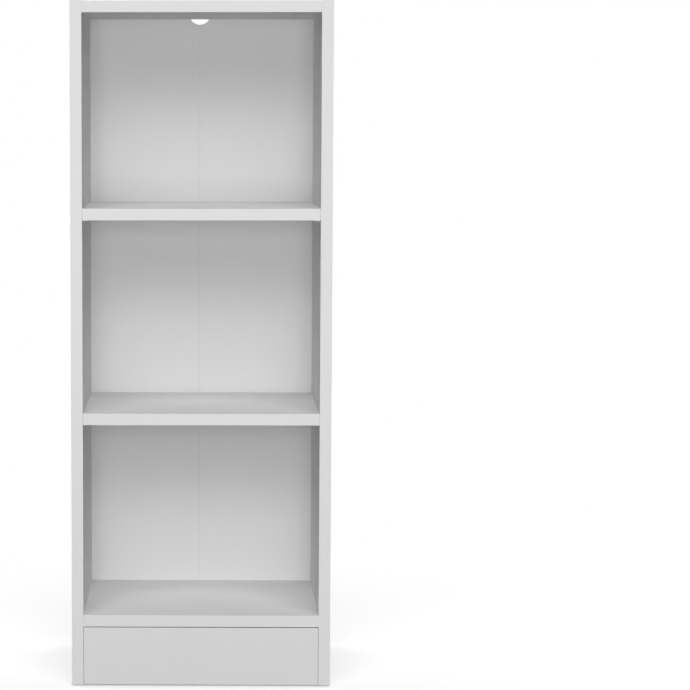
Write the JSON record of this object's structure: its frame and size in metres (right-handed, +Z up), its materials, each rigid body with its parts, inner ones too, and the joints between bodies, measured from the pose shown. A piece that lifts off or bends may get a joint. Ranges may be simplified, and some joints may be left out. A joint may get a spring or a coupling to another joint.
{
  "type": "bookcase",
  "caption": "Narrow open bookcase of white-faced board: fixed bottom shelf over a plinth, loose shelves on pegs, thin folded back with a strap notch.",
  "frame": {"origin": "on the floor, under the middle of the case's width and depth", "axes": "+Z up, the open front faces -Y, +X to the right seen from the front"},
  "size_m": [0.4, 0.28, 1.0573],
  "materials": {
    "white_faced_board": "chipboard with a matt white melamine facing",
    "white_edging": "matt white edging strip with rounded corners",
    "white_hardboard": "thin fibreboard, lacquered white in front and bare brown behind",
    "paper_tape": "gummed paper hinge tape",
    "beech_dowel": "bare beech",
    "zinc_cam": "die-cast zinc",
    "zinc_plated_steel": "zinc-plated steel",
    "bright_nail_steel": "bright wire nail",
    "nickel_plated_steel": "nickel-plated steel",
    "white_glide_plastic": "moulded white plastic"
  },
  "bodies": {
    "carcass": {"right_side_panel": "white_faced_board", "right_side_front_edging": "white_edging", "right_side_top_edging": "white_edging", "left_side_panel": "white_faced_board", "left_side_front_edging": "white_edging", "left_side_top_edging": "white_edging", "top_panel": "white_faced_board", "top_panel_edging": "white_edging", "top_panel_cam_locks": "zinc_cam", "top_panel_cam_bolts": "zinc_plated_steel", "top_panel_dowels": "beech_dowel", "bottom_shelf": "white_faced_board", "bottom_shelf_edging": "white_edging", "bottom_shelf_cam_locks": "zinc_cam", "bottom_shelf_cam_bolts": "zinc_plated_steel", "bottom_shelf_dowels": "beech_dowel", "lower_shelf_pegs": "nickel_plated_steel", "upper_shelf_pegs": "nickel_plated_steel", "plinth_board": "white_faced_board", "plinth_dowels": "beech_dowel", "back_left_leaf": "white_hardboard", "back_right_leaf": "white_hardboard", "back_fold_tape": "paper_tape", "back_nails": "bright_nail_steel", "floor_glides": "white_glide_plastic", "glide_nails": "bright_nail_steel"},
    "lower_shelf": {"lower_shelf_board": "white_faced_board", "lower_shelf_edging": "white_edging"},
    "upper_shelf": {"upper_shelf_board": "white_faced_board", "upper_shelf_edging": "white_edging"}
  },
  "joints": [
    {"name": "lower_shelf_slide", "type": "slide", "parent": "carcass", "child": "lower_shelf", "axis": [0, -1, 0], "range_m": [0, 0.1]},
    {"name": "upper_shelf_slide", "type": "slide", "parent": "carcass", "child": "upper_shelf", "axis": [0, -1, 0], "range_m": [0, 0.1]}
  ]
}
